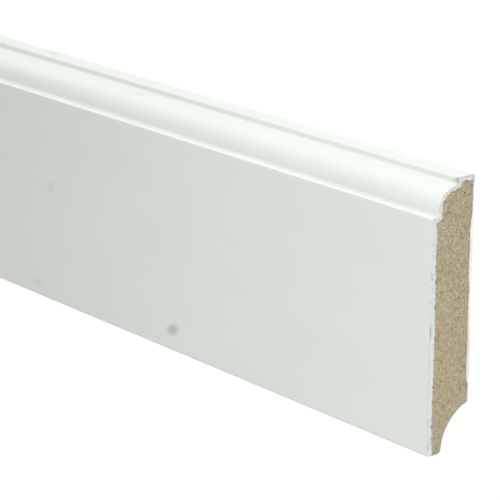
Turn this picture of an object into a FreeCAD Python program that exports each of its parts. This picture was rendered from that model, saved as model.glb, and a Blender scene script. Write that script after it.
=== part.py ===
# Skirting board length: a fibreboard core in a hard white coating.
# It lies on its back. X runs along the length, Y up the face to the moulded edge, Z out of the back.
# The origin is the middle of the board's box, at the level of its back. Lengths are in millimetres.
import FreeCAD, Part
import math
import os

import Sketcher

doc = FreeCAD.newDocument("SkirtingBoard")

# Driving sizes: each cell's alias, its value and what it measures
SIZES = (
    ("board_length", "2400", "length of the stock, sawn square at both ends"),
    ("board_height", "90", "from the foot to the top land"),
    ("board_thickness", "18", "from the back to the front face"),
    ("coating", "1.3", "thickness of the coating on the face, the moulding and the top land"),
    ("back_coating", "0.5", "thickness of the coating on the back"),
    ("land_width", "7", "top land, from the back to the quirk"),
    ("quirk_depth", "2", "step down from the top land to the shoulder"),
    ("nose_radius", "6.1", "convex round of the moulding"),
    ("nose_drop", "8.9", "from the top land down to the front of the nose"),
    ("shelf_width", "1.4", "flat between the front of the nose and the cove"),
    ("cove_radius", "0.9", "hollow between the shelf and the lip"),
    ("lip_width", "2.2", "flat between the cove and the front face"),
    ("toe_round", "0.9", "round on the lower edge of the front face"),
    ("scoop_height", "14.6", "hollow along the lower back for cables: from the foot to its top"),
    ("foot_width", "6", "from the front face to the scoop, at the floor"),
    ("heel_round", "1.3", "round between the foot and the scoop"),
)

# How a constraint names the points of a line or arc, the first axis and the origin
START = 1
END = 2
CENTRE = 3
X_AXIS = -1
ORIGIN = (X_AXIS, START)


def size_sheet():
    """The sheet that every dimension reads."""
    sheet = doc.addObject("Spreadsheet::Sheet", "Sizes")
    for row, (alias, value, meaning) in enumerate(SIZES, start=1):
        sheet.set(f"A{row}", alias)
        sheet.set(f"B{row}", value)
        sheet.setAlias(f"B{row}", alias)
        sheet.set(f"C{row}", meaning)
    doc.recompute()
    return sheet


sheet = size_sheet()


def size(alias):
    """A driving size, to place a line near where its dimensions will hold it."""
    return float(sheet.get(alias))


def touch_point(from_x, from_z, centre_x, centre_z, radius):
    """Where a line from a point touches a circle, on the circle's front side."""
    across = centre_x - from_x
    out = centre_z - from_z
    reach = math.hypot(across, out)
    turn = math.atan2(out, across) - math.asin(radius / reach)
    run = math.sqrt(reach ** 2 - radius ** 2)
    return from_x + run * math.cos(turn), from_z + run * math.sin(turn)


class Section:
    """A sketch of the cross-section: its first axis runs up the face and its second out of the back."""

    def __init__(self, body, name):
        self.sketch = body.newObject("Sketcher::SketchObject", name)
        plane = next(p for p in body.Origin.OriginFeatures if p.Role == "YZ_Plane")
        self.sketch.AttachmentSupport = [(plane, "")]
        self.sketch.MapMode = "FlatFace"

    def line(self, start, end, guide=False):
        """A straight line between two points."""
        edge = Part.LineSegment(FreeCAD.Vector(*start, 0), FreeCAD.Vector(*end, 0))
        return self.sketch.addGeometry(edge, guide)

    def arc(self, centre, radius, start, end, guide=False):
        """An arc, anticlockwise from the bearing of one point to the bearing of another."""
        circle = Part.Circle(FreeCAD.Vector(*centre, 0), FreeCAD.Vector(0, 0, 1), radius)
        first, last = (math.atan2(p[1] - centre[1], p[0] - centre[0]) for p in (start, end))
        return self.sketch.addGeometry(Part.ArcOfCircle(circle, first, last), guide)

    def rule(self, kind, *ends):
        """A constraint with no dimension."""
        self.sketch.addConstraint(Sketcher.Constraint(kind, *ends))

    def dimension(self, kind, ends, name, formula):
        """A dimension that follows the sheet."""
        value = float(self.sketch.evalExpression(formula))
        index = self.sketch.addConstraint(Sketcher.Constraint(kind, *ends, value))
        self.sketch.renameConstraint(index, name)
        self.sketch.setExpression("Constraints." + name, formula)


def cove_centre():
    """Centre of the hollow at the foot of the lip."""
    across = size("board_height") / 2 - size("nose_drop") - size("shelf_width")
    return across, size("board_thickness") - size("lip_width")


def nose_centre():
    """Centre of the nose, whose front is level with the shelf."""
    across, out = cove_centre()
    shelf = out - size("cove_radius")
    return across + size("shelf_width"), shelf - size("nose_radius")


def outer_outline(section, guide):
    """The board's outside, from the toe up the face, over the moulding and down the back."""
    top = size("board_height") / 2
    front = size("board_thickness")
    cove_x, cove_z = cove_centre()
    nose_x, nose_z = nose_centre()
    join = (nose_x, nose_z + size("nose_radius"))
    cove_end = (cove_x, join[1])
    lip_x = cove_x - size("cove_radius")
    quirk = (top - size("quirk_depth"), size("land_width"))
    touch = touch_point(*quirk, nose_x, nose_z, size("nose_radius"))

    face = section.line((size("toe_round") - top, front), (lip_x, front), guide)
    lip = section.line((lip_x, front), (lip_x, cove_z), guide)
    cove = section.arc((cove_x, cove_z), size("cove_radius"), (lip_x, cove_z), cove_end, guide)
    shelf = section.line(cove_end, join, guide)
    nose = section.arc((nose_x, nose_z), size("nose_radius"), touch, join, guide)
    shoulder = section.line(touch, quirk, guide)
    riser = section.line(quirk, (top, quirk[1]), guide)
    land = section.line((top, quirk[1]), (top, 0), guide)
    back = section.line((top, 0), (size("scoop_height") - top, 0), guide)

    section.rule("Coincident", face, END, lip, START)
    section.rule("Tangent", lip, END, cove, START)
    section.rule("Tangent", cove, END, shelf, START)
    section.rule("Tangent", shelf, END, nose, END)
    section.rule("Tangent", nose, START, shoulder, START)
    section.rule("Coincident", shoulder, END, riser, START)
    section.rule("Coincident", riser, END, land, START)
    section.rule("Coincident", land, END, back, START)
    for along in (face, shelf, riser, back):
        section.rule("Horizontal", along)
    for out in (lip, land):
        section.rule("Vertical", out)
    section.rule("PointOnObject", back, END, X_AXIS)

    half = "Sizes.board_height / 2"
    section.dimension("DistanceX", (*ORIGIN, land, START), "top", half)
    section.dimension("DistanceY", (*ORIGIN, face, START), "front", "Sizes.board_thickness")
    section.dimension("DistanceX", (face, START, *ORIGIN), "face_foot", half + " - Sizes.toe_round")
    section.dimension("DistanceY", (lip, END, lip, START), "lip_width", "Sizes.lip_width")
    section.dimension("Radius", (cove,), "cove_radius", "Sizes.cove_radius")
    section.dimension("Radius", (nose,), "nose_radius", "Sizes.nose_radius")
    section.dimension("DistanceX", (nose, CENTRE, land, START), "nose_drop", "Sizes.nose_drop")
    section.dimension("DistanceX", (shelf, START, shelf, END), "shelf_width", "Sizes.shelf_width")
    section.dimension("DistanceX", (riser, START, riser, END), "quirk_depth", "Sizes.quirk_depth")
    section.dimension("DistanceY", (land, END, land, START), "land_width", "Sizes.land_width")
    section.dimension("DistanceX", (back, END, *ORIGIN), "scoop_top", half + " - Sizes.scoop_height")
    return {"face": face, "cove": cove, "nose": nose, "shoulder": shoulder, "riser": riser,
            "land": land, "back": back}


def inner_outline(section, outer):
    """The line where coating and core meet: it follows the outside at the coating's depth."""
    depth = size("coating")
    thin = size("back_coating")
    top = size("board_height") / 2
    front = size("board_thickness") - depth
    cove_x, cove_z = cove_centre()
    nose_x, nose_z = nose_centre()
    nose_radius = size("nose_radius") - depth
    cove_radius = size("cove_radius") + depth
    join = (nose_x, nose_z + nose_radius)
    cove_end = (cove_x, join[1])
    lip_x = cove_x - cove_radius
    quirk = (top - size("quirk_depth") - depth, size("land_width") - depth)
    touch = touch_point(*quirk, nose_x, nose_z, nose_radius)

    face = section.line((-top, front), (lip_x, front))
    lip = section.line((lip_x, front), (lip_x, cove_z))
    cove = section.arc((cove_x, cove_z), cove_radius, (lip_x, cove_z), cove_end)
    shelf = section.line(cove_end, join)
    nose = section.arc((nose_x, nose_z), nose_radius, touch, join)
    shoulder = section.line(touch, quirk)
    riser = section.line(quirk, (top - depth, quirk[1]))
    land = section.line((top - depth, quirk[1]), (top - depth, thin))
    back = section.line((top - depth, thin), (size("scoop_height") - top, thin))

    section.rule("Coincident", face, END, lip, START)
    section.rule("Tangent", lip, END, cove, START)
    section.rule("Tangent", cove, END, shelf, START)
    section.rule("Tangent", shelf, END, nose, END)
    section.rule("Tangent", nose, START, shoulder, START)
    section.rule("Coincident", shoulder, END, riser, START)
    section.rule("Coincident", riser, END, land, START)
    section.rule("Coincident", land, END, back, START)
    for along in (face, shelf, riser, back):
        section.rule("Horizontal", along)
    for out in (lip, land):
        section.rule("Vertical", out)
    section.rule("Coincident", nose, CENTRE, outer["nose"], CENTRE)
    section.rule("Coincident", cove, CENTRE, outer["cove"], CENTRE)
    section.rule("Parallel", shoulder, outer["shoulder"])
    section.rule("Vertical", back, END, outer["back"], END)

    section.dimension("Radius", (nose,), "core_nose_radius", "Sizes.nose_radius - Sizes.coating")
    section.dimension("DistanceY", (face, END, outer["face"], END), "face_coating", "Sizes.coating")
    section.dimension("DistanceX", (land, START, outer["land"], START), "land_coating", "Sizes.coating")
    section.dimension("DistanceY", (riser, END, outer["riser"], END), "quirk_coating", "Sizes.coating")
    section.dimension("DistanceY", (*ORIGIN, back, END), "back_coating", "Sizes.back_coating")
    section.dimension("DistanceX", (face, START, *ORIGIN), "foot", "Sizes.board_height / 2")
    return {"face": face, "back": back}


def stock(label, draw):
    """A body sawn from one section, with half of its length each side of the origin."""
    body = doc.addObject("PartDesign::Body", label)
    body.Label = label
    section = Section(body, label + "_section")
    draw(section)
    doc.recompute()
    length = body.newObject("PartDesign::Pad", label + "_length")
    length.Profile = section.sketch
    length.SideType = "Symmetric"
    length.setExpression("Length", "Sizes.board_length")
    return body


def coating_section(section):
    """White coating: round the toe, up the face, over the moulding and thinly down the back."""
    outer = outer_outline(section, guide=False)
    inner = inner_outline(section, outer)
    foot = -size("board_height") / 2
    front = size("board_thickness")
    toe_round = size("toe_round")
    scoop_top = foot + size("scoop_height")

    edge = section.line((foot, front - size("coating")), (foot, front - toe_round))
    toe = section.arc((foot + toe_round, front - toe_round), toe_round,
                      (foot + toe_round, front), (foot, front - toe_round))
    back_edge = section.line((scoop_top, 0), (scoop_top, size("back_coating")))
    section.rule("Coincident", edge, START, inner["face"], START)
    section.rule("Vertical", edge)
    section.rule("Tangent", edge, END, toe, END)
    section.rule("Tangent", outer["face"], START, toe, START)
    section.rule("Coincident", back_edge, START, outer["back"], END)
    section.rule("Coincident", back_edge, END, inner["back"], END)


def core_section(section):
    """Fibreboard core: the coating's inner line, a narrow foot and the scoop behind it."""
    outer = outer_outline(section, guide=True)
    inner = inner_outline(section, outer)
    foot = -size("board_height") / 2
    front = size("board_thickness")
    thin = size("back_coating")
    rise = size("scoop_height")
    depth = front - size("foot_width") - thin
    reach = (rise ** 2 + depth ** 2) / (2 * depth)
    heel_round = size("heel_round")
    scoop_z = thin + depth - reach
    heel_z = scoop_z + math.sqrt((reach + heel_round) ** 2 - heel_round ** 2)
    share = reach / (reach + heel_round)
    meet = (foot + heel_round * share, scoop_z + (heel_z - scoop_z) * share)

    ledge = section.line((foot, front - size("coating")), (foot, heel_z))
    heel = section.arc((foot + heel_round, heel_z), heel_round, (foot, heel_z), meet)
    scoop = section.arc((foot, scoop_z), reach, (foot + rise, thin), meet)
    floor = section.line((foot, front), (foot, front - size("foot_width")), guide=True)
    section.rule("Coincident", ledge, START, inner["face"], START)
    section.rule("Vertical", ledge)
    section.rule("Tangent", ledge, END, heel, START)
    section.rule("Tangent", heel, END, scoop, END)
    section.rule("Coincident", scoop, START, inner["back"], END)
    section.rule("Vertical", scoop, CENTRE, ledge, END)
    section.rule("Vertical", floor)
    section.rule("Vertical", floor, START, ledge, START)
    section.rule("Horizontal", floor, START, outer["face"], START)
    section.rule("PointOnObject", floor, END, scoop)
    section.dimension("Radius", (heel,), "heel_round", "Sizes.heel_round")
    section.dimension("DistanceY", (floor, END, floor, START), "foot_width", "Sizes.foot_width")


def write_parts(bodies):
    """Checks every object and shape, then writes each sub-part's file."""
    doc.recompute()
    for item in doc.Objects:
        bad = [state for state in item.State if state in ("Invalid", "Error")]
        if bad:
            raise RuntimeError(f"{item.Label} is {bad[0]}")
    for body in bodies:
        if body.Shape.isNull() or not body.Shape.isValid():
            raise RuntimeError(f"{body.Label} has no valid shape")
    os.makedirs("parts", exist_ok=True)
    for body in bodies:
        body.Shape.exportStep(f"parts/{body.Label}.step")
        box = body.Shape.BoundBox
        print(body.Label, f"{body.Shape.Volume:.0f} mm3", box)


write_parts([stock("fibreboard_core", core_section), stock("white_coating", coating_section)])
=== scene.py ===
"""A length of white skirting board lying on its back, seen from above its near sawn end.

The fibreboard core and the white coating are both worked out from the board's section: the
section is carried along the length, and closed at each end by a sawn face. The two pieces
share one seam, point for point, so the coating sits on the core with no gap. The board lies
along X, its moulded top edge points to +Y and its face looks up, to +Z. All in metres.
"""
import itertools
import math

import bpy
import numpy as np
from mathutils import Matrix, Vector


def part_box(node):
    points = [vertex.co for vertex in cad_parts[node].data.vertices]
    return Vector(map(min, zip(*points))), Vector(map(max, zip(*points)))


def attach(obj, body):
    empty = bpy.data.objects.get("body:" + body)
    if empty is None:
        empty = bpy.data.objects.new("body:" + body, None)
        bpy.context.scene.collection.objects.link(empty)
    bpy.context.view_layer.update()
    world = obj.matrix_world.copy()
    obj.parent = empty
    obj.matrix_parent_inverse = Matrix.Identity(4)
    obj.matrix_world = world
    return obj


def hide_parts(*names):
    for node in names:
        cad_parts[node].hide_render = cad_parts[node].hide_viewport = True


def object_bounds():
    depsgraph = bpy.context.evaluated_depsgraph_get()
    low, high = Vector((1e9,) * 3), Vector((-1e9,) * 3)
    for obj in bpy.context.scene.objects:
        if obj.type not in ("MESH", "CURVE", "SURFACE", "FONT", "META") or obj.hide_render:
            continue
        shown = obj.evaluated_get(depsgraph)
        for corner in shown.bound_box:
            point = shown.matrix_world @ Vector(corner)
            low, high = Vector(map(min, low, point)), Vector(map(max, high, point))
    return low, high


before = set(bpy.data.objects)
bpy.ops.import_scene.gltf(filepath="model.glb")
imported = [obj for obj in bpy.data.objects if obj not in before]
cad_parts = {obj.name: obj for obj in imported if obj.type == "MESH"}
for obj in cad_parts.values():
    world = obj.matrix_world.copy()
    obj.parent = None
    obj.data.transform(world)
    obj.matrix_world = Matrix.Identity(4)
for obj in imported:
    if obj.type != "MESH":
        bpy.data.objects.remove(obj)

MM = 0.001

# The frame's box, and how thick the coating is on the face
cad_low, cad_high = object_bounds()
core_low, core_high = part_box("fibreboard_core")
near_end, far_end = cad_high.x, cad_low.x
foot, top = cad_low.y, cad_high.y
back, front = cad_low.z, cad_high.z
coating = front - core_high.z

# The section's own sizes
land_width = 7 * MM
quirk_depth = 2 * MM
nose_radius = 6.1 * MM
nose_drop = 8.9 * MM
shelf_width = 1.4 * MM
cove_radius = 0.9 * MM
lip_width = 2.2 * MM
toe_round = 0.9 * MM
scoop_height = 14.6 * MM
foot_width = 6 * MM
heel_round = 1.3 * MM

# Places on the section that the outlines share, each as (y, z)
cove_centre = np.array([top - nose_drop - shelf_width, front - lip_width])
cove_bottom = cove_centre - 0.7 * cove_radius
lip_edge = np.array([cove_centre[0] - cove_radius, front])
nose_centre = cove_centre + [shelf_width, -cove_radius - nose_radius]
land_edge = np.array([top, land_width])
quirk_corner = land_edge - [quirk_depth, 0]
to_quirk = quirk_corner - nose_centre
shoulder_turn = (math.atan2(to_quirk[1], to_quirk[0])
                 + math.acos(nose_radius / math.hypot(*to_quirk)))
scoop_top = foot + scoop_height
heel_z, ledge_z = front - foot_width, core_low.z
scoop_z = (heel_z**2 - ledge_z**2 - scoop_height**2) / (2 * (heel_z - ledge_z))
scoop_radius = heel_z - scoop_z
scoop_centre = np.array([foot, scoop_z])
lip_lean = math.radians(14)

# How fine the grids are
fine_step = 0.2 * MM
plain_step = 0.42 * MM
columns = 44
stations_each_way = 28
rim_columns = 3

# How far the moulding's outer corners are eased: everywhere, in the quirk and along the land
light_wear, quirk_wear, land_wear = 0.1 * MM, 0.4 * MM, 0.45 * MM

# The saw's marks on both ends, and how far along the board they fade
relief_depth, crevice_depth, nick_depth = 0.1 * MM, 0.1 * MM, 0.22 * MM
tuft_size, fine_tuft_size = 0.95 * MM, 0.5 * MM
blade_scale, blade_lean = 0.27 * MM, 0.3
seam_spread, corner_room = 0.8 * MM, 1.2 * MM
fades_by, sunk_fades_by, cut_fades_by = 1.2 * MM, 0.4 * MM, 0.7 * MM

# What else the photographed end shows. The seam strays inwards along the face and the back, and
# outwards at the nose. Each of its bumps has a height, a reach and a widening.
face_widening, nose_narrowing, back_widening = 0.63 * MM, 0.12 * MM, 0.68 * MM
back_wide_from, back_wide_to = foot + 19.5 * MM, foot + 78 * MM
ding_height, ding_reach = foot + 41.2 * MM, 2 * MM
seam_bumps = ((foot, 3 * MM, 0.25 * MM), (foot + 12 * MM, 3.5 * MM, -0.3 * MM),
              (ding_height, 5 * MM, 0.35 * MM), (foot + 71.8 * MM, 1.6 * MM, 0.45 * MM))
land_widening, land_tear, tear_depth = 0.5 * MM, 0.35 * MM, 4 * MM
pit_place, pit_radius, pit_depth = (top - 5.3 * MM, 4.2 * MM), 0.3 * MM, 0.4 * MM
slit_place, slit_reach, slit_depth = (foot + 70.9 * MM, 5.1 * MM), (1.5 * MM, 0.14 * MM), 0.25 * MM
chip_place = (near_end - 0.9 * MM, top - 1.4 * MM, land_width)
chip_reach = (1.7 * MM, 1.1 * MM, 0.9 * MM)
notch_place = (near_end - 0.7 * MM, top - 0.5 * MM, land_width)
notch_reach = (0.8 * MM, 0.6 * MM, 0.6 * MM)

# Between these heights the face's arris is whole, and the burr with its painted shade line lies
# half-way across the rim
whole_from, whole_to = foot + 43 * MM, foot + 49 * MM

# Dirt on the coating: how far from the near end, height, depth, reach and strength of each spot
dirt_spots = (
    (128 * MM, foot + 8 * MM, front, 2 * MM, 0.54),
    (209.5 * MM, foot + 5.1 * MM, front, 2.1 * MM, 0.13),
    (199.5 * MM, foot + 44.9 * MM, front, 1.9 * MM, 0.1),
    (155.5 * MM, nose_centre[0] + 6 * MM, nose_centre[1] + 0.9 * MM, 1.8 * MM, 0.1),
    (217.8 * MM, top, 2.2 * MM, 2.1 * MM, 0.26),
    (0, cove_centre[0] - 1.1 * MM, front - 1 * MM, 0.4 * MM, 0.7),
    (0, foot + 59.2 * MM, front - 0.6 * MM, 0.35 * MM, 0.9),
    (0, foot + 2.7 * MM, front - 0.5 * MM, 0.4 * MM, 0.5),
    (0, foot + 4.2 * MM, front - 0.6 * MM, 0.6 * MM, 0.25),
    (0, foot + 5.5 * MM, front - 1.8 * MM, 1.6 * MM, 0.24),
    (0, top - 1.4 * MM, back + 0.3 * MM, 1.1 * MM, 0.4),
    (0, top - 0.2 * MM, back + 3.2 * MM, 0.35 * MM, 0.6),
)

# Where the photograph was taken from, the point of the face in its middle, and the lens
camera_place = (near_end + 492.8 * MM, foot + 293.4 * MM, back + 513.6 * MM)
camera_aim = (near_end - 85.9 * MM, foot + 48 * MM, front)
camera_lens = 171.6


# Camera

def place_camera():
    """The photograph's camera: a long lens with the board's top edge upwards and no tilt."""
    place, aim = Vector(camera_place), Vector(camera_aim)
    backwards = (place - aim).normalized()
    right = Vector((0, 1, 0)).cross(backwards).normalized()
    upwards = backwards.cross(right)
    data = bpy.data.cameras.new("photo_camera")
    data.sensor_width = 36
    data.lens = camera_lens
    data.clip_start = 0.01
    data.clip_end = 100
    camera = bpy.data.objects.new("photo_camera", data)
    camera.matrix_world = Matrix.Translation(place) @ Matrix(
        (right, upwards, backwards)).transposed().to_4x4()
    bpy.context.scene.collection.objects.link(camera)
    bpy.context.scene.camera = camera


place_camera()


# Helpers: noise, grids and meshes

def noise(places, size, seed):
    """Smooth noise from -1 to 1: random values on a lattice one size apart, eased in between."""
    table = np.random.default_rng(seed).uniform(-1, 1, (53,) * len(places))
    cells = [np.floor(place / size).astype(int) for place in places]
    shares = [place / size - cell for place, cell in zip(places, cells)]
    shares = [share * share * (3 - 2 * share) for share in shares]
    total = 0
    for corner in itertools.product((0, 1), repeat=len(places)):
        weight = 1
        for share, side in zip(shares, corner):
            weight = weight * (share if side else 1 - share)
        total = total + weight * table[tuple((c + s) % 53 for c, s in zip(cells, corner))]
    return total


def bump_at(distance, reach):
    """One at the middle and fading to nothing, as a bell: e to the minus (distance / reach) squared."""
    return np.exp(-(distance / reach) ** 2)


def straight(start, end, count):
    """Points evenly spaced from start to end, both included."""
    return np.linspace(start, end, count)


def closer_at_ends(start, end, count):
    """Points on a straight line, half of the spacing even and half eased, so closer at its ends."""
    even = np.linspace(0, 1, count)[:, None]
    share = (even + (1 - np.cos(math.pi * even)) / 2) / 2
    return np.asarray(start) + (np.asarray(end) - np.asarray(start)) * share


def arc(centre, radius, first, last, count):
    """Points round a circle: centre plus radius times (cos, sin) of evenly spaced angles.
    Angle nought points up the board and a quarter turn points out of its face."""
    turn = np.linspace(first, last, count)[:, None]
    return centre + radius * np.hstack([np.cos(turn), np.sin(turn)])


def along(outline):
    """How far each point lies along the outline: the running sum of the steps between points."""
    return np.concatenate([[0], np.cumsum(np.hypot(*np.diff(outline, axis=0).T))])


def spread_like(outline, model):
    """Points on the outline that divide its length as the model's points divide the model's."""
    wanted = along(model) / along(model)[-1] * along(outline)[-1]
    return np.stack([np.interp(wanted, along(outline), axis) for axis in outline.T], axis=1)


def worn(outline, reach):
    """The outline with its corners eased: each point is the mean of the outline round it,
    up to reach either way, and less beside the two ends."""
    place = along(outline)
    room = np.minimum(reach, np.minimum(place, place[-1] - place))
    near = place[:, None] + room[:, None] * np.linspace(-1, 1, 15)
    return np.stack([np.interp(near, place, axis).mean(axis=1) for axis in outline.T], axis=1)


def squares(index, closed=False):
    """The four-cornered faces between neighbours in a grid of vertex numbers."""
    after = np.roll(index, -1, axis=1) if closed else index[:, 1:]
    here = index if closed else index[:, :-1]
    return np.stack([here[:-1], here[1:], after[1:], after[:-1]], axis=-1).reshape(-1, 4)


def make_piece(name, points, faces, masks, creased, material):
    """A smooth-shaded mesh object in its place, with one number per point for each named mask
    and a sharp crease along each edge that joins two points of the same creased line."""
    mesh = bpy.data.meshes.new(name)
    mesh.from_pydata(points, [], faces)
    mesh.polygons.foreach_set("use_smooth", np.ones(len(faces), bool))
    ends = np.empty(2 * len(mesh.edges), int)
    mesh.edges.foreach_get("vertices", ends)
    line = creased[ends.reshape(-1, 2)]
    sharp = (line[:, 0] > 0) & (line[:, 0] == line[:, 1])
    mesh.attributes.new("sharp_edge", "BOOLEAN", "EDGE").data.foreach_set("value", sharp)
    for mask, values in masks.items():
        mesh.attributes.new(mask, "FLOAT", "POINT").data.foreach_set(
            "value", values.astype(np.float32))
    mesh.materials.append(material)
    mesh.validate()
    piece = bpy.data.objects.new(name, mesh)
    bpy.context.scene.collection.objects.link(piece)
    return piece


# The section: the core's rows, the seam round them and the coating's outer outline

def core_rows():
    """The core's front border from the foot to the top, one point for each row of its grid, and
    the back border at the same heights. Each border is one run of straight lines and arcs whose
    depth is a function of the height: front (face, lip, cove, shelf, nose, shoulder, riser) and
    back (heel circle, scoop circle, flat back). The front border lies one coating inside the
    board, but for the lip, which leans back by a few degrees."""
    inner_nose, inner_cove = nose_radius - coating, cove_radius + coating
    outwards = np.array([math.cos(shoulder_turn), math.sin(shoulder_turn)])
    riser_z = land_width - coating
    riser_y = (outwards @ nose_centre + inner_nose - outwards[1] * riser_z) / outwards[0]
    cove = arc(cove_centre, inner_cove, math.pi + lip_lean, 1.5 * math.pi, 24)
    lip_top = cove[0] + (core_high.z - cove[0, 1]) * np.array([-math.tan(lip_lean), 1])
    lip = straight(lip_top, cove[0], 9)
    nose = arc(nose_centre, inner_nose, math.pi / 2, shoulder_turn, 28)
    shelf = straight(cove[-1], nose[0], 8)
    step = np.vstack([lip, cove[1:], shelf[1:]])
    shoulder = closer_at_ends(nose[-1], (riser_y, riser_z), 20)
    riser = closer_at_ends(shoulder[-1], (core_high.y, riser_z), 13)

    heel_centre = np.array([foot + heel_round, scoop_z + math.sqrt(
        (scoop_radius + heel_round)**2 - heel_round**2)])
    heel_turn = math.atan2(*(heel_centre - scoop_centre)[::-1])
    scoop_end = math.asin((ledge_z - scoop_z) / scoop_radius)
    heel = arc(heel_centre, heel_round, -math.pi, heel_turn - math.pi, 12)
    scoop = arc(scoop_centre, scoop_radius, heel_turn, scoop_end, 62)

    before_lip = lip_top[0] - 1.5 * MM
    flat = np.arange(scoop_top, before_lip, plain_step)
    heights = np.concatenate([heel[:, 0], scoop[1:, 0], flat[1:],
                              np.arange(before_lip, lip_top[0], fine_step)])
    fronts = np.vstack([np.stack([heights, np.full_like(heights, core_high.z)], axis=1),
                        step, nose[1:], shoulder[1:], riser[1:]])
    curve = np.vstack([heel, scoop[1:], [[core_high.y, ledge_z]]])
    backs = np.stack([fronts[:, 0], np.interp(fronts[:, 0], curve[:, 0], curve[:, 1])], axis=1)
    runs = np.cumsum([0, len(heights), len(step) - 1, len(nose) - 1,
                      len(shoulder) - 1, len(riser) - 1])
    return fronts, backs, runs


fronts, backs, runs = core_rows()
rows = len(fronts)
first_back_row = int(np.argmin(abs(fronts[:, 0] - scoop_top)))
across = closer_at_ends([0.0], [1.0], columns)[:, 0]

# The grid of one sawn end of the core, rows by columns, from the back border to the front one
flat_grid = backs[:, None] + (fronts - backs)[:, None] * across[None, :, None]

# The seam as places in that grid: up the front, over the top, down the back to the scoop
seam_row = np.concatenate([np.arange(rows), np.full(columns - 1, rows - 1),
                           np.arange(rows - 2, first_back_row - 1, -1)])
seam_column = np.concatenate([np.full(rows, columns - 1), np.arange(columns - 2, -1, -1),
                              np.zeros(rows - 1 - first_back_row, int)])
seam = flat_grid[seam_row, seam_column]
top_front, top_back = rows - 1, rows + columns - 2
on_back = np.arange(len(seam)) > top_back


def outer_outline():
    """The coating's outer outline, one point for each point of the seam: run by run (toe and
    face, lip to shelf, nose, shoulder, riser, land, back), each run divided as the seam is."""
    toe_centre = np.array([foot + toe_round, front - toe_round])
    toe = arc(toe_centre, toe_round, -math.pi, -1.5 * math.pi, 12)
    cove = arc(cove_centre, cove_radius, math.pi, 1.5 * math.pi, 40)
    nose = arc(nose_centre, nose_radius, math.pi / 2, shoulder_turn, 40)
    drawn = [np.vstack([toe, straight(toe[-1], lip_edge, 60)]),
             np.vstack([lip_edge, cove, nose[:1]]),
             nose,
             np.array([nose[-1], quirk_corner]),
             np.array([quirk_corner, land_edge]),
             np.array([land_edge, (top, back)]),
             np.array([(top, back), (scoop_top, back)])]
    marks = [*runs, top_back, len(seam) - 1]
    parts = [spread_like(run, seam[a:b + 1]) for run, a, b in zip(drawn, marks[:-1], marks[1:])]
    return np.vstack([parts[0]] + [part[1:] for part in parts[1:]])


square_outer = outer_outline()
from_quirk, from_land_edge, from_cove, from_lip = (
    np.hypot(*(square_outer - place).T)
    for place in (quirk_corner, land_edge, cove_bottom, lip_edge))
outer = worn(square_outer, light_wear + quirk_wear * bump_at(from_quirk, 1 * MM)
             + land_wear * bump_at(from_land_edge, 0.8 * MM))
seam_place = along(seam)
seam_step = np.gradient(worn(seam, 1.2 * MM), seam_place, axis=0)
seam_inwards = np.stack([seam_step[:, 1], -seam_step[:, 0]], axis=1)

# The stations along the board: from either end to the middle, their distances grow by one ratio
board_length = near_end - far_end
from_end = np.concatenate([[0], np.geomspace(0.12 * MM, board_length / 2, stations_each_way)])
from_near = np.concatenate([from_end, board_length - from_end[-2::-1]])
from_far = board_length - from_near
stations = len(from_near)


# The two sawn ends

def from_seam(values, reach):
    """Numbers along the seam carried into the core's grid. Each is full at its own place on the
    front, top or back border and dies away from it, as e to the minus distance / reach."""
    height, depth = flat_grid[..., 0], flat_grid[..., 1]
    down_back = np.zeros((rows, 1))
    down_back[first_back_row:, 0] = values[top_back:][::-1]
    return (values[:rows, None] * np.exp(-(fronts[:, 1:] - depth) / reach)
            + values[top_front:top_back + 1][::-1] * np.exp(-(core_high.y - height) / reach)
            + down_back * np.exp(-(depth - backs[:, 1:]) / reach))


def seam_wander(seed, photographed):
    """How far the seam strays inwards at each of its points: noise of three sizes, most on the
    thin back layer and not at all at the section's corners. The photographed end adds its
    wider layer on the face and the back, its narrower nose and its bumps."""
    corners = seam_place[[top_front, top_back]]
    clear = np.clip(np.min(abs(seam_place[:, None] - corners), axis=1) / corner_room, 0, 1)
    slow = noise([seam_place], 6.5 * MM, seed)
    ragged = noise([seam_place], 1.3 * MM, seed + 1) + 0.7 * noise([seam_place], 0.6 * MM, seed + 2)
    wander = (0.08 * ragged + np.where(on_back, 0.24, 0.06) * slow) * MM * clear
    if not photographed:
        return wander
    height = seam[:, 0]
    above_face = np.clip((height - fronts[runs[1], 0]) / (2 * MM), 0, 1)
    widening = face_widening * (1 - above_face) - nose_narrowing * above_face * clear
    for place, reach, bump in seam_bumps:
        widening += bump * bump_at(height - place, reach)
    rise = (height - back_wide_from) / (3 * MM), (back_wide_to - height) / (6 * MM)
    return wander + np.where(on_back, back_widening * np.clip(np.minimum(*rise), 0, 1), widening)


def saw_relief(seed):
    """How deep the saw cut at each point of the grid: a mean depth, plus tufts of fibre as noise
    of two sizes, plus blade marks as a sine of the height and some of the depth."""
    height, depth = flat_grid[..., 0], flat_grid[..., 1]
    tufts = (noise([height, depth], tuft_size, seed + 3)
             + noise([height, depth], fine_tuft_size, seed + 4))
    blade = np.sin((height + blade_lean * depth) / blade_scale
                   + 3 * noise([height], 9 * MM, seed + 5))
    return relief_depth * np.clip(0.5 + 0.3 * tufts + 0.07 * blade, 0, 1.2)


def pit_and_slit():
    """The two holes in the photographed end: a round bell and a long one, sunk at their places."""
    height, depth = flat_grid[..., 0], flat_grid[..., 1]
    pit_away = np.hypot(height - pit_place[0], depth - pit_place[1])
    slit_away = np.hypot((height - slit_place[0]) / slit_reach[0],
                         (depth - slit_place[1]) / slit_reach[1])
    return pit_depth * bump_at(pit_away, pit_radius) + slit_depth * bump_at(slit_away, 1)


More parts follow.
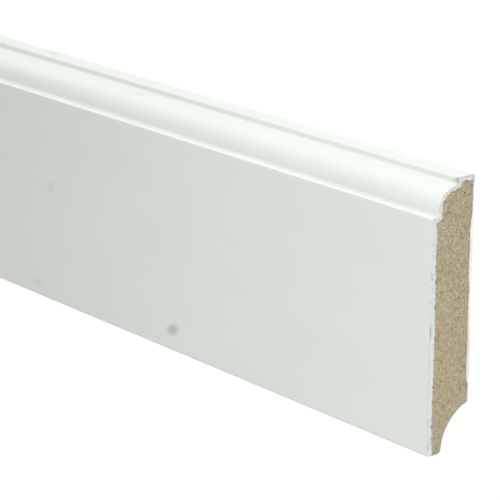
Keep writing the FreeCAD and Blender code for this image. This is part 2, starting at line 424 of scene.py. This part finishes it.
def sawn_end(seed, photographed):
    """What the saw left at one end. The grid follows the seam as it wanders, the relief sinks
    it, and a crevice opens here and there along the seam, most at the moulding. At the
    photographed end the land's layer is thicker, but for one torn place with a crevice.
    Returns the core's grid as it is there, its depths, and how much crevice and how much nick
    each seam point has."""
    wander = seam_wander(seed, photographed)
    shift = np.stack([from_seam(wander * way, seam_spread) for way in seam_inwards.T], axis=-1)
    sunk = saw_relief(seed)
    moulded = np.clip((seam[:, 0] - fronts[runs[1], 0]) / MM + 1, 0, 1) * ~on_back
    moulded[top_front:] *= 0.3
    crevice = 0.5 * moulded - 0.1 + 1.4 * noise([seam_place], 0.75 * MM, seed + 6)
    nick = np.clip(1.7 * noise([seam_place], 0.9 * MM, seed + 7) - 0.8, 0, 1)
    if photographed:
        height, depth = flat_grid[..., 0], flat_grid[..., 1]
        lowered = land_widening - land_tear * bump_at(depth - tear_depth, 1.3 * MM)
        shift[..., 0] -= lowered * np.exp(-(core_high.y - height) / seam_spread)
        sunk += pit_and_slit()
        crevice[top_front:] += 0.55 * bump_at(seam[top_front:, 1] - tear_depth, 1.2 * MM)
        nick += 1.3 * bump_at(seam[:, 0] - ding_height, ding_reach) * ~on_back
    crevice = np.clip(crevice, 0, 1)
    sunk += crevice_depth * from_seam(crevice, 0.3 * MM)
    return flat_grid + shift, sunk, crevice, np.clip(nick, 0, 1)


near_grid, near_sunk, near_crevice, near_nick = sawn_end(11, photographed=True)
far_grid, far_sunk, far_crevice, far_nick = sawn_end(71, photographed=False)


def carried(flat, near, near_deep, far, far_deep):
    """A line of the section carried to every station: its flat shape, plus what each sawn end
    moved there, which fades with the distance from that end. Returns points by stations."""
    near_share, far_share = np.exp(-from_near / fades_by), np.exp(-from_far / fades_by)
    place = (flat[:, None] + (near - flat)[:, None] * near_share[None, :, None]
             + (far - flat)[:, None] * far_share[None, :, None])
    length = (near_end - from_near - near_deep[:, None] * np.exp(-from_near / sunk_fades_by)
              + far_deep[:, None] * np.exp(-from_far / sunk_fades_by))
    return np.concatenate([length[..., None], place], axis=2)


# The fibreboard core

def core_masks(side_points):
    """Numbers for the core's points, nought along its sides: which are sawn, how near a crevice (for
    painted shade), how near the seam (dust) and how near a bare edge (arris), less above the scoop."""
    height, depth = flat_grid[..., 0], flat_grid[..., 1]
    to_seam = np.minimum(fronts[:, 1:] - depth, core_high.y - height)
    to_bare = np.minimum(depth - backs[:, 1:], height - foot)
    dust = bump_at(to_seam, 1.1 * MM)
    arris = np.exp(-to_bare / (0.7 * MM)) * np.where(height < scoop_top, 1, 0.5)
    # Painted shade beside the crevices of each sawn end
    near_crevice_shade, far_crevice_shade = from_seam(near_crevice, 0.7 * MM), from_seam(far_crevice, 0.7 * MM)
    sawn = np.ones_like(height)
    ends = {"sawn": (sawn, sawn), "crevice": (near_crevice_shade, far_crevice_shade),
            "dust": (dust, dust), "arris": (arris, arris)}
    return {name: np.concatenate([near.ravel(), far.ravel(), np.zeros(side_points)])
            for name, (near, far) in ends.items()}


def build_core(material):
    """The core: a grid of rows and columns over each sawn end, and the section's border carried
    from one end to the other. The sides share the border points of both ends."""
    index = np.arange(rows * columns).reshape(rows, columns)
    border = np.concatenate([index[0], index[1:, -1], index[-1, -2::-1], index[-2:0:-1, 0]])
    near_face = np.dstack([near_end - near_sunk, near_grid]).reshape(-1, 3)
    far_face = np.dstack([far_end + far_sunk, far_grid]).reshape(-1, 3)
    sides = carried(flat_grid.reshape(-1, 2)[border],
                    near_face[border, 1:], near_sunk.ravel()[border],
                    far_face[border, 1:], far_sunk.ravel()[border])
    points = np.vstack([near_face, far_face, sides[:, 1:-1].reshape(-1, 3)])

    inner = 2 * index.size + np.arange(len(border) * (stations - 2)).reshape(len(border), -1)
    lengthwise = np.column_stack([border, inner, index.size + border])
    lengthwise = np.vstack([lengthwise, lengthwise[:1]])
    faces = np.vstack([squares(index), squares(index)[:, ::-1] + index.size,
                       squares(lengthwise)])
    creased = np.zeros(len(points), int)
    creased[border], creased[index.size + border] = 1, 2
    return make_piece("core", points, faces, core_masks(inner.size), creased, material)


# The white coating

# Round each point of the seam runs one closed loop of columns: the outside from the near end to
# the far one, the far rim, the inside back again and the near rim
outside_end = stations - 1
inside_start = stations + rim_columns
inside_end = inside_start + stations - 1


def sawn_rim(start, end, seed):
    """Points across the coating's sawn edge: evenly spaced from start to end, and each sunk
    into the board by a small depth times one plus noise."""
    share = (np.arange(rim_columns) + 1) / (rim_columns + 1)
    made = start[:, None] + (end - start)[:, None] * share[None, :, None]
    rough = noise([made[..., 1], made[..., 2]], 0.45 * MM, seed)
    inwards = np.sign((near_end + far_end) / 2 - start[0, 0])
    made[..., 0] += inwards * 0.04 * MM * (1 + rough)
    return made


def coating_loops():
    """The loops' points: the outer outline and the seam carried along the board, with a rim over
    each sawn end, and nicks that draw the outside inwards there. The chip beside the quirk is a
    bell with ragged noise that draws all but the inside towards the seam. Returns the points,
    and how much chip and how much notch each has."""
    thickness = np.hypot(*(seam - outer).T)
    into = (seam - outer) / thickness[:, None]
    near_outer = outer + into * nick_depth * near_nick[:, None]
    far_outer = outer + into * nick_depth * far_nick[:, None]
    near_deep = 0.02 * MM + 0.18 * MM * near_nick
    far_deep = 0.02 * MM + 0.18 * MM * far_nick
    outside = carried(outer, near_outer, near_deep, far_outer, far_deep)
    inside = carried(seam, near_grid[seam_row, seam_column], near_sunk[seam_row, seam_column],
                     far_grid[seam_row, seam_column], far_sunk[seam_row, seam_column])
    near_rim = sawn_rim(inside[:, 0], outside[:, 0], 31)
    far_rim = sawn_rim(outside[:, -1], inside[:, -1], 91)
    loops = np.concatenate([outside, far_rim, inside[:, ::-1], near_rim], axis=1)

    torn = noise([loops[..., 0], loops[..., 1], loops[..., 2]], 0.5 * MM, 41)
    chip = bump_at(np.linalg.norm((loops - chip_place) / chip_reach, axis=2), 1)
    chip = np.clip((1.6 + 1.3 * torn) * chip - 0.35, 0, 1)
    notch = bump_at(np.linalg.norm((loops - notch_place) / notch_reach, axis=2), 1)
    chip[:, inside_start:inside_end + 1] = notch[:, inside_start:inside_end + 1] = 0
    loops[..., 1:] += into[:, None] * (0.35 * coating * chip)[..., None]
    return loops, chip, notch


def coating_faces(index):
    """Squares between neighbouring loops, and at the toe and at the top of the scoop a strip
    from the outside to the inside, with one more face across each rim."""
    faces = squares(index, closed=True).tolist()
    for row, turn in ((0, 1), (-1, -1)):
        outside = index[row, :stations]
        inside = index[row, inside_start:inside_end + 1][::-1]
        faces += squares(np.stack([outside, inside]))[:, ::-turn].tolist()
        faces.append([inside[0], *index[row, inside_end + 1:], outside[0]][::turn])
        faces.append([outside[-1], *index[row, stations:inside_start], inside[-1]][::turn])
    return faces


def coating_masks(chip, notch):
    """Numbers for the coating's points: chip, how freshly cut, grime with painted shade in the
    notch, the nicks and the crevices, the burr with a painted shade line along the sawn arris, and
    on the outside a painted highlight on the lip and painted shade in the cove."""
    raised = 0.12 + 0.88 * np.clip((seam[:, 0] - cove_centre[0]) / MM, 0, 1)
    whole = np.clip((seam[:, 0] - whole_from) / (whole_to - whole_from), 0, 1)
    whole *= seam[:, 0] < cove_centre[0] - MM
    on_wall = np.where(square_outer[:, 1] < front - 0.01 * MM, 1, 0.2)
    cut, burr_and_shade, lip_highlight, cove_shade = np.zeros((4, *chip.shape))
    cut[:, :stations] = ((0.8 - 0.7 * whole[:, None])
                         * np.exp(-np.minimum(from_near, from_far) / cut_fades_by))
    cut[:, stations:inside_start + 1] = cut[:, inside_end:] = 1
    # The burr's dark line along each sawn arris is partly painted shade
    for column, share in ((0, 1), (1, 0.5), (-1, 0.4)):
        burr_and_shade[:, column] = burr_and_shade[:, outside_end - column] = share * raised
    burr_and_shade[:, [0, 1, -1]] *= (1 - 0.9 * whole)[:, None]
    burr_and_shade[:, -2] = 0.3 * whole
    # Grime with painted shade in the notch, the nicks and the crevices along the seam
    grime_and_shade = 1.1 * notch
    grime_and_shade[:, 0], grime_and_shade[:, -1], grime_and_shade[:, inside_end] = near_nick, 0.6 * near_nick, near_crevice
    grime_and_shade[:, outside_end], grime_and_shade[:, inside_start] = far_nick, far_crevice
    # A painted highlight along the lip
    lip_highlight[:, :stations] = (bump_at(from_lip, 1.1 * MM) * on_wall)[:, None]
    # Painted shade in the cove
    cove_shade[:, :stations] = bump_at(from_cove, 0.9 * MM)[:, None]
    masks = {"chip": chip, "cut": cut, "grime_and_shade": grime_and_shade, "burr_and_shade": burr_and_shade, "lip_highlight": lip_highlight,
             "cove_shade": cove_shade}
    return {name: values.ravel() for name, values in masks.items()}


def build_coating(material):
    """The coating: its loops, closed at the toe and at the top of the scoop, with a crease
    along each arris of its two sawn rims."""
    loops, chip, notch = coating_loops()
    index = np.arange(chip.size).reshape(chip.shape)
    creased = np.zeros(chip.shape, int)
    creased[:, [0, outside_end, inside_start, inside_end]] = 1, 2, 3, 4
    return make_piece("coating", loops.reshape(-1, 3), coating_faces(index),
                      coating_masks(chip, notch), creased.ravel(), material)


# Materials: small helpers, the effects that they share, and one function for each finish

def put(tree, kind, sockets=None, **settings):
    """Adds a node, applies its settings, and fills or links its input sockets."""
    made = tree.nodes.new(kind)
    for name, value in settings.items():
        setattr(made, name, value)
    for name, value in (sockets or {}).items():
        if isinstance(value, bpy.types.NodeSocket):
            tree.links.new(value, made.inputs[name])
        else:
            made.inputs[name].default_value = value
    return made


def maths(tree, operation, first, second=0.0, limited=False):
    """One arithmetic step between two numbers or sockets."""
    return put(tree, "ShaderNodeMath", {0: first, 1: second},
               operation=operation, use_clamp=limited).outputs[0]


def plus(tree, first, second, limited=False):
    """The sum of two numbers or sockets, held between nought and one where it is limited."""
    return maths(tree, "ADD", first, second, limited)


def times(tree, first, second):
    """The product of two numbers or sockets."""
    return maths(tree, "MULTIPLY", first, second)


def scaled(tree, position, factor):
    """A position times one number or three."""
    if isinstance(factor, tuple):
        return put(tree, "ShaderNodeVectorMath", {0: position, 1: factor},
                   operation="MULTIPLY").outputs[0]
    return put(tree, "ShaderNodeVectorMath", {0: position, "Scale": factor},
               operation="SCALE").outputs[0]


def between(tree, share, first, second, blend="MIX"):
    """A colour between two others, or one blended over the other."""
    return put(tree, "ShaderNodeMix", {0: share, 6: first, 7: second},
               data_type="RGBA", blend_type=blend, clamp_factor=True).outputs[2]


def ramp(tree, value, low, high):
    """An eased mask: nought at low and one at high, which may be the smaller of the two."""
    return put(tree, "ShaderNodeMapRange", {0: value, 1: low, 2: high},
               interpolation_type="SMOOTHSTEP").outputs[0]


def grain(tree, position, scale, detail=2.0, rough=0.55):
    """Noise about one half, at a number of features for each unit of position."""
    return put(tree, "ShaderNodeTexNoise", {"Vector": position, "Scale": scale,
               "Detail": detail, "Roughness": rough}).outputs[0]


def new_group(name, inputs, outputs):
    """A shader node group with named sockets, and the group's own input and output nodes."""
    group = bpy.data.node_groups.new(name, "ShaderNodeTree")
    for socket, kind in inputs.items():
        group.interface.new_socket(socket, in_out="INPUT", socket_type="NodeSocket" + kind)
    for socket, kind in outputs.items():
        group.interface.new_socket(socket, in_out="OUTPUT", socket_type="NodeSocket" + kind)
    return group, group.nodes.new("NodeGroupInput").outputs, group.nodes.new("NodeGroupOutput")


def fleck_group():
    """Pressed wood fibre: a mottled ground with dark gaps and pale fibres, and their height."""
    group, given, out = new_group(
        "fibre_flecks", {"Position": "Vector", "Fleck Size": "Float", "Ground": "Color",
                         "Dark": "Color", "Pale": "Color"}, {"Colour": "Color", "Height": "Float"})
    place = scaled(group, given["Position"], maths(group, "DIVIDE", 1.0, given["Fleck Size"]))
    pulp = grain(group, place, 1.0, 4.0, 0.75)
    fibres = grain(group, scaled(group, place, (0.5, 0.22, 1.6)), 1.3, 2.0, 0.5)
    mixed = plus(group, pulp, times(group, fibres, 0.45))
    patches = grain(group, place, 0.2, 2.0, 0.5)
    mottled = between(group, ramp(group, patches, 0.3, 0.7), given["Ground"],
                      between(group, 0.16, given["Ground"], given["Dark"]))
    dark = ramp(group, mixed, 0.75, 0.5)
    pale = ramp(group, mixed, 0.74, 0.96)
    colour = between(group, pale, between(group, dark, mottled, given["Dark"]), given["Pale"])
    height = maths(group, "SUBTRACT", plus(group, pulp, pale), dark)
    group.links.new(colour, out.inputs["Colour"])
    group.links.new(height, out.inputs["Height"])
    return group


def spot_group():
    """A spot round one place, turned about the face's normal: full within one share of its reach
    and gone beyond another, with an edge that wavers by noise."""
    group, given, out = new_group(
        "soft_spot", {"Position": "Vector", "Centre": "Vector", "Reach": "Vector",
                      "Turn": "Float", "Full Within": "Float", "Gone Beyond": "Float"},
        {"Mask": "Float"})
    away = put(group, "ShaderNodeVectorMath", {0: given["Position"], 1: given["Centre"]},
               operation="SUBTRACT").outputs[0]
    away = put(group, "ShaderNodeVectorRotate", {"Vector": away, "Angle": given["Turn"]},
               rotation_type="Z_AXIS").outputs[0]
    away = put(group, "ShaderNodeVectorMath", {0: away, 1: given["Reach"]},
               operation="DIVIDE").outputs[0]
    distance = put(group, "ShaderNodeVectorMath", {0: away}, operation="LENGTH").outputs["Value"]
    distance = plus(group, distance, times(group, grain(group, away, 1.6, 2.0), 0.6))
    group.links.new(ramp(group, distance, given["Gone Beyond"], given["Full Within"]),
                    out.inputs["Mask"])
    return group


def cloud_group():
    """Slow unevenness of a finish, from nought to one, at a chosen size."""
    group, given, out = new_group("cloud", {"Position": "Vector", "Size": "Float"},
                                  {"Value": "Float"})
    place = scaled(group, given["Position"], maths(group, "DIVIDE", 1.0, given["Size"]))
    group.links.new(ramp(group, grain(group, place, 1.0, 3.0), 0.3, 0.7), out.inputs["Value"])
    return group


fibre_flecks, soft_spot, cloud = fleck_group(), spot_group(), cloud_group()


def use(tree, group, sockets):
    """A shared effect placed in a material with its own values."""
    made = tree.nodes.new("ShaderNodeGroup")
    made.node_tree = group
    for name, value in sockets.items():
        if isinstance(value, bpy.types.NodeSocket):
            tree.links.new(value, made.inputs[name])
        else:
            made.inputs[name].default_value = value
    return made.outputs


def new_material(name):
    """An empty node material, its tree, its Principled shader and its Object coordinates."""
    material = bpy.data.materials.new(name)
    material.use_nodes = True
    tree = material.node_tree
    shader = tree.nodes["Principled BSDF"]
    return material, tree, shader, put(tree, "ShaderNodeTexCoord").outputs["Object"]


def mask(tree, name):
    """A number that the mesh holds for each of its points."""
    return put(tree, "ShaderNodeAttribute", attribute_name=name).outputs["Fac"]


def bumped(tree, shader, height, distance, strength=1.0):
    """Relief from a height, as deep as distance for a height of one."""
    made = put(tree, "ShaderNodeBump", {"Height": height, "Distance": distance,
                                        "Strength": strength})
    tree.links.new(made.outputs[0], shader.inputs["Normal"])


def fibreboard():
    """Bare fibreboard: rough and flecked where it is sawn, smoother and browner where it was
    machined, greyer with dust beside the coating and greenish along its bare edges, with painted
    shade in the crevices and in the pit and slit of the near end."""
    material, tree, shader, position = new_material("fibreboard")
    sawn = use(tree, fibre_flecks, {
        "Position": position, "Fleck Size": 0.46 * MM, "Ground": (0.57, 0.482, 0.322, 1),
        "Dark": (0.245, 0.195, 0.108, 1), "Pale": (0.86, 0.8, 0.6, 1)})
    machined = use(tree, fibre_flecks, {
        "Position": scaled(tree, position, (0.3, 1, 1)), "Fleck Size": 0.8 * MM,
        "Ground": (0.5, 0.4, 0.25, 1), "Dark": (0.33, 0.25, 0.15, 1),
        "Pale": (0.58, 0.48, 0.32, 1)})
    is_sawn = mask(tree, "sawn")
    colour = between(tree, is_sawn, machined["Colour"], sawn["Colour"])
    slow = use(tree, cloud, {"Position": position, "Size": 9 * MM})["Value"]
    # The crevice tint is painted shade beside the seam, and the last tint painted shade in the pit and
    # slit
    for share, tint in ((times(tree, slow, 0.12), (0.42, 0.33, 0.2, 1)),
                        (times(tree, mask(tree, "dust"), 0.6), (0.57, 0.54, 0.5, 1)),
                        (times(tree, mask(tree, "arris"), 0.85), (0.4, 0.41, 0.33, 1)),
                        (times(tree, mask(tree, "crevice"), 0.75), (0.1, 0.085, 0.055, 1)),
                        (hole_shade(tree, position), (0.02, 0.016, 0.01, 1))):
        colour = between(tree, share, colour, tint)
    tree.links.new(colour, shader.inputs["Base Color"])
    tree.links.new(plus(tree, 0.7, times(tree, is_sawn, 0.2)), shader.inputs["Roughness"])
    shader.inputs["Specular IOR Level"].default_value = 0.25
    height = put(tree, "ShaderNodeMix", {0: is_sawn, 2: times(tree, machined["Height"], 0.25),
                                         3: sawn["Height"]}).outputs[0]
    bumped(tree, shader, height, 0.1 * MM)
    return material


def hole_shade(tree, position):
    """Painted shade in the near end's two holes, a little fainter in the slit."""
    pit, slit = (use(tree, soft_spot, {
        "Position": position, "Centre": (near_end, *place), "Reach": (2 * MM, *reach),
        "Full Within": 1, "Gone Beyond": 1.35})["Mask"]
        for place, reach in ((pit_place, (pit_radius, pit_radius)), (slit_place, slit_reach)))
    return plus(tree, pit, times(tree, slit, 0.8), True)


def painted_face(tree, place, slow):
    """The coating's colour: a slightly green white with a faint cloudiness, with painted shade on
    the face towards the moulding and the near end, a painted highlight that whitens the lip and
    painted shade that greys the cove."""
    colour = between(tree, slow, (0.785, 0.825, 0.775, 1), (0.8, 0.838, 0.79, 1))
    on_face = ramp(tree, place["Z"], front - 0.4 * MM, front - 0.1 * MM)
    high = ramp(tree, place["Y"], foot + 25 * MM, cove_centre[0])
    near = ramp(tree, place["X"], near_end - 90 * MM, near_end - 40 * MM)
    far = ramp(tree, place["X"], near_end - 100 * MM, near_end - 200 * MM)
    face_shade = plus(tree, times(tree, high, plus(tree, times(tree, far, 0.055), 0.025)),
                  times(tree, near, 0.02))
    # The first tint is painted shade on the face, the second a painted highlight on the lip and the
    # third painted shade in the cove
    for share, tint in ((times(tree, face_shade, on_face), (0.5, 0.53, 0.49, 1)),
                        (times(tree, mask(tree, "lip_highlight"), 0.55), (0.96, 0.975, 0.955, 1)),
                        (times(tree, mask(tree, "cove_shade"), 0.18), (0.55, 0.58, 0.54, 1))):
        colour = between(tree, share, colour, tint)
    return colour


def sawn_rim_colour(tree, place, flecked):
    """The coating where it is sawn: even along the face, more flecked round the moulding, and
    clean and creamy on the thin layer at the back."""
    moulded = ramp(tree, place["Y"], cove_centre[0] - 1 * MM, cove_centre[0])
    mottled = plus(tree, times(tree, moulded, 0.5), 0.5)
    colour = between(tree, mottled, (0.785, 0.815, 0.765, 1), flecked)
    clean = times(tree, ramp(tree, place["Z"], 3 * MM, 1.5 * MM), below_top(tree, place))
    return between(tree, times(tree, clean, 0.4), colour, (0.96, 0.95, 0.9, 1))


def below_top(tree, place):
    """A mask that fades out towards the board's top."""
    return ramp(tree, place["Y"], top - 1.5 * MM, top - 12 * MM)


def painted_back_glow(tree, place, cut):
    """A painted glow on the thin back layer's sawn edge, for light shining through it, from black to
    white.
    """
    thin = times(tree, ramp(tree, place["Z"], 1.6 * MM, 0.4 * MM),
                 ramp(tree, place["Y"], foot + 34 * MM, foot + 48 * MM))
    lit = times(tree, times(tree, thin, below_top(tree, place)), cut)
    return between(tree, lit, (0, 0, 0, 1), (1, 1, 1, 1))


def with_dirt(tree, position, colour):
    """A colour with the soft grey spots that the photograph shows, each drawn out along the
    board and turned a little."""
    for back_by, height, depth, reach, strength in dirt_spots:
        spot = use(tree, soft_spot, {
            "Position": position, "Centre": (near_end - back_by, height, depth),
            "Reach": (reach * 1.7, reach, reach), "Turn": math.radians(-24),
            "Full Within": 0.4, "Gone Beyond": 1.8})["Mask"]
        colour = between(tree, times(tree, spot, strength), colour, (0.28, 0.32, 0.28, 1))
    return colour


def white_coating():
    """The coating: satin on the outside, duller on its sawn rim with a broken burr and painted shade
    line along the arris, dirty in spots, with grime and painted shade in nicks, torn to pale fibre in
    the chip, and with a painted glow on its thin back edge."""
    material, tree, shader, position = new_material("white_coating")
    place = put(tree, "ShaderNodeSeparateXYZ", {0: position}).outputs
    slow = use(tree, cloud, {"Position": scaled(tree, position, (0.5, 1, 1)),
                             "Size": 16 * MM})["Value"]
    rim = use(tree, fibre_flecks, {
        "Position": position, "Fleck Size": 0.6 * MM, "Ground": (0.82, 0.835, 0.8, 1),
        "Dark": (0.46, 0.46, 0.41, 1), "Pale": (0.93, 0.94, 0.91, 1)})
    fibre = use(tree, fibre_flecks, {
        "Position": position, "Fleck Size": 0.7 * MM, "Ground": (0.92, 0.865, 0.71, 1),
        "Dark": (0.42, 0.36, 0.24, 1), "Pale": (0.98, 0.97, 0.93, 1)})
    frayed = times(tree, grain(tree, position, 1 / (0.5 * MM), 3.0), 1.2)
    cut = ramp(tree, plus(tree, mask(tree, "cut"), frayed), 1.0, 1.2)
    torn = ramp(tree, mask(tree, "chip"), 0.15, 0.5)
    broken = ramp(tree, grain(tree, position, 1 / (0.6 * MM), 2.0), 0.42, 0.62)
    burr_and_shade = times(tree, mask(tree, "burr_and_shade"), broken)

    colour = painted_face(tree, place, slow)
    colour = between(tree, cut, colour, sawn_rim_colour(tree, place, rim["Colour"]))
    colour = with_dirt(tree, position, colour)
    # The burr along the arris, darkened partly as a painted shade line
    colour = between(tree, times(tree, burr_and_shade, 0.35), colour, (0.3, 0.31, 0.28, 1))
    colour = between(tree, torn, colour, fibre["Colour"])
    # Grime and painted shade in the notch, the nicks and the crevices
    colour = between(tree, times(tree, mask(tree, "grime_and_shade"), 0.6), colour, (0.25, 0.22, 0.15, 1))
    tree.links.new(colour, shader.inputs["Base Color"])
    # A painted glow on the thin back layer's sawn edge
    tree.links.new(painted_back_glow(tree, place, cut), shader.inputs["Emission Color"])
    shader.inputs["Emission Strength"].default_value = 0.13
    dull = plus(tree, times(tree, cut, 0.35), times(tree, torn, 0.4))
    satin = plus(tree, 0.5, times(tree, slow, 0.05))
    tree.links.new(plus(tree, satin, dull, True), shader.inputs["Roughness"])

    peel = grain(tree, position, 1 / (1.1 * MM), 1.0)
    drawn = grain(tree, scaled(tree, position, (0.02, 1, 1)), 1 / (0.8 * MM), 2.0)
    fine = times(tree, plus(tree, peel, drawn), 0.05)
    rough = times(tree, plus(tree, rim["Height"], fibre["Height"]),
                  times(tree, maths(tree, "MAXIMUM", cut, torn), 0.4))
    bumped(tree, shader, plus(tree, fine, rough), 0.1 * MM)
    return material


# The stage: floor, sky and lights

# The camera sees the floor and the sky almost white, and the board gets a little less of each
floor_light, floor_seen = 0.566, 0.85
sky_light, sky_seen = 0.451, 0.97
floor_reach, floor_gap = 30.0, 0.02 * MM


def seen_or_lit(tree, seen, lit):
    """One brightness for what the camera sees and another for the light that the board gets."""
    camera_ray = put(tree, "ShaderNodeLightPath").outputs["Is Camera Ray"]
    return put(tree, "ShaderNodeMapRange", {0: camera_ray, 3: lit, 4: seen}).outputs[0]


def pale_floor():
    """The floor: a pale matt sheet with a faint cloudiness, lit from below like a studio table."""
    material, tree, shader, position = new_material("pale_floor")
    slow = use(tree, cloud, {"Position": position, "Size": 0.4})["Value"]
    colour = between(tree, slow, (0.29, 0.29, 0.29, 1), (0.31, 0.31, 0.31, 1))
    tree.links.new(colour, shader.inputs["Base Color"])
    shader.inputs["Roughness"].default_value = 0.9
    shader.inputs["Specular IOR Level"].default_value = 0.1
    shader.inputs["Emission Color"].default_value = (1, 1, 1, 1)
    tree.links.new(seen_or_lit(tree, floor_seen, floor_light), shader.inputs["Emission Strength"])
    return material


def lay_floor():
    """A level square under the board, a hair below it: a two by two grid of corner points."""
    side = np.array([-floor_reach, floor_reach])
    points = np.array([(x, y, back - floor_gap) for x in side for y in side])
    mesh = bpy.data.meshes.new("floor")
    mesh.from_pydata(points, [], [(0, 2, 3, 1)])
    mesh.materials.append(pale_floor())
    floor = bpy.data.objects.new("floor", mesh)
    bpy.context.scene.collection.objects.link(floor)


def light_sky():
    """An even white sky."""
    world = bpy.data.worlds.new("studio_sky")
    world.use_nodes = True
    tree = world.node_tree
    background = tree.nodes["Background"].inputs
    background["Color"].default_value = (1, 1, 1, 1)
    tree.links.new(seen_or_lit(tree, sky_seen, sky_light), background["Strength"])
    bpy.context.scene.world = world


def area_light(name, place, aim, size, power):
    """A soft rectangular light at a place, facing an aim, that the camera doesn't see."""
    data = bpy.data.lights.new(name, "AREA")
    data.shape = "RECTANGLE"
    data.size, data.size_y = size
    data.energy = power
    light = bpy.data.objects.new(name, data)
    light.location = place
    light.rotation_mode = "QUATERNION"
    light.rotation_quaternion = (Vector(aim) - Vector(place)).to_track_quat("-Z", "Y")
    light.visible_camera = False
    bpy.context.scene.collection.objects.link(light)


lay_floor()
light_sky()
middle = (near_end + far_end) / 2
area_light("low_key_beyond_top_edge", (middle, 2.0, 0.12), (middle, 0, 0), (4.0, 0.24), 15.8)
area_light("high_key_beyond_top_edge", (middle, 1.7, 1.3), (middle, 0, 0), (4.0, 0.9), 14.6)
for end, away in ((near_end, 0.03), (far_end, -0.03)):
    area_light("fill_past_top_edge", (end + away, 0.35, 0.25), (end, 0, 0), (0.25, 0.25), 0.334)
    area_light("fill_over_foot", (end + away, -0.1, 0.33), (end, 0, 0), (0.25, 0.25), 0.27)
    area_light("fill_before_end", (end + 16 * away, -0.05, 0.1), (end, 0, 0), (0.3, 0.3), 0.92)
bpy.context.scene.view_settings.view_transform = "Standard"


# The board itself

core = build_core(fibreboard())
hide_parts("fibreboard_core")
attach(core, "root")

cover = build_coating(white_coating())
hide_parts("white_coating")
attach(cover, "root")
